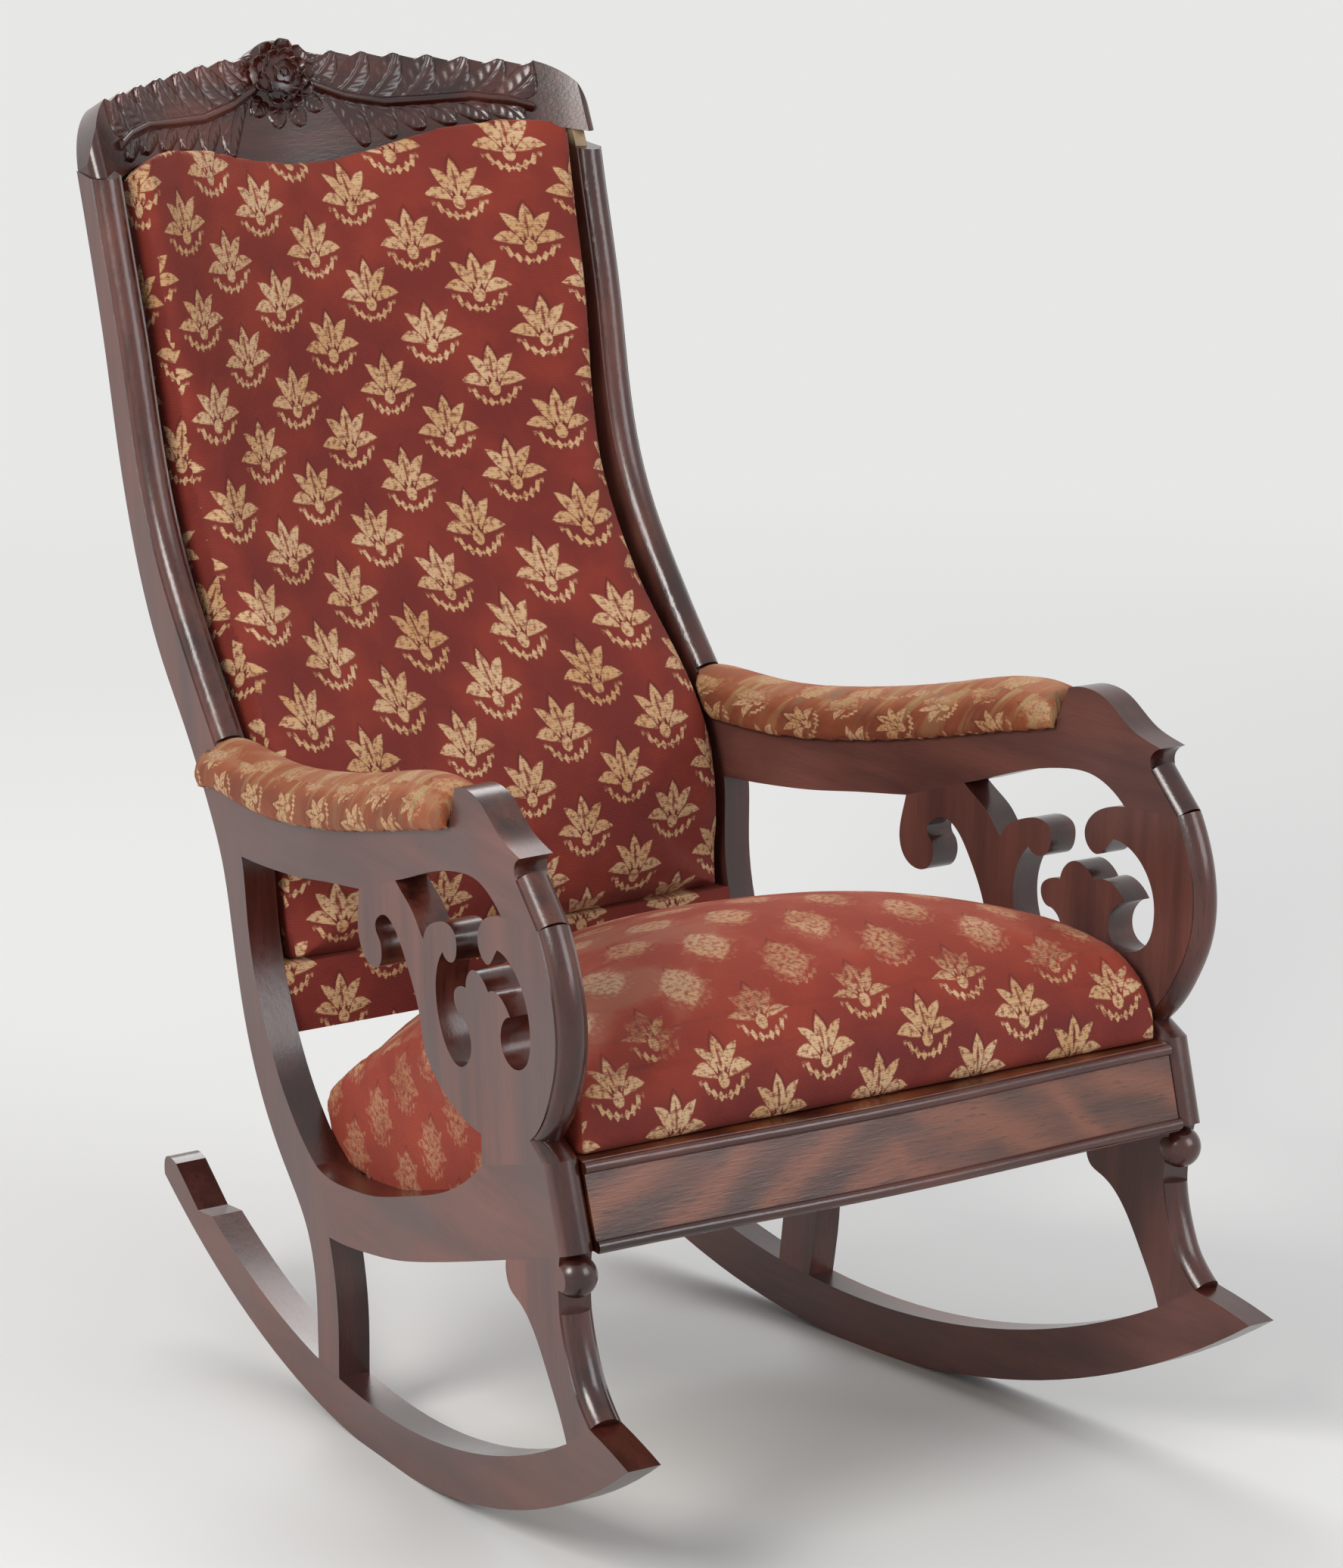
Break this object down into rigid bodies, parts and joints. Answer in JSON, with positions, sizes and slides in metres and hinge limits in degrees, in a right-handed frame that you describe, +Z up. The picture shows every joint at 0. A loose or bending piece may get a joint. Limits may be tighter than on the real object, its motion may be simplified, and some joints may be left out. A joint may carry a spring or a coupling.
{
  "type": "rocking chair",
  "caption": "Upholstered wooden rocking chair with carved crest, scrolled fretted arm supports, padded back, seat and arms, and two bent runners fixed to its legs.",
  "frame": {"origin": "On the floor, under the middle of the whole chair's box.", "axes": "+X is the sitter's left, the chair faces -Y, +Z is up."},
  "size_m": [0.5948, 0.9782, 1.0045],
  "materials": {
    "mahogany": "gloss",
    "flame_veneer": "gloss",
    "plain_frame_wood": "satin",
    "pale_tenon_wood": "matte",
    "webbing": "matte",
    "canvas": "matte",
    "figured_velvet": "matte",
    "lining_cloth": "matte"
  },
  "bodies": {
    "root": {"runner_left": "mahogany", "runner_right": "mahogany", "front_leg_left": "mahogany", "front_leg_right": "mahogany", "side_seat_rail_left": "mahogany", "side_seat_rail_right": "mahogany", "colonnette_left": "mahogany", "colonnette_right": "mahogany", "stile_left": "mahogany", "stile_right": "mahogany", "arm_support_left": "mahogany", "arm_support_right": "mahogany", "arm_left": "mahogany", "arm_right": "mahogany", "front_seat_rail": "flame_veneer", "front_rail_top_bead": "mahogany", "front_rail_bottom_bead": "mahogany", "crest_rail": "mahogany", "crest_rose": "mahogany", "rear_seat_rail": "plain_frame_wood", "back_lower_rail": "plain_frame_wood", "front_block_left": "plain_frame_wood", "front_block_right": "plain_frame_wood", "rear_block_left": "plain_frame_wood", "rear_block_right": "plain_frame_wood", "back_strip_left": "plain_frame_wood", "back_strip_right": "plain_frame_wood", "crest_tenons": "pale_tenon_wood", "seat_webbing": "webbing", "back_webbing": "webbing", "seat_canvas": "canvas", "back_canvas": "canvas", "seat_cushion": "figured_velvet", "back_pad": "figured_velvet", "arm_pad_left": "figured_velvet", "arm_pad_right": "figured_velvet", "outside_back": "lining_cloth"}
  },
  "joints": []
}
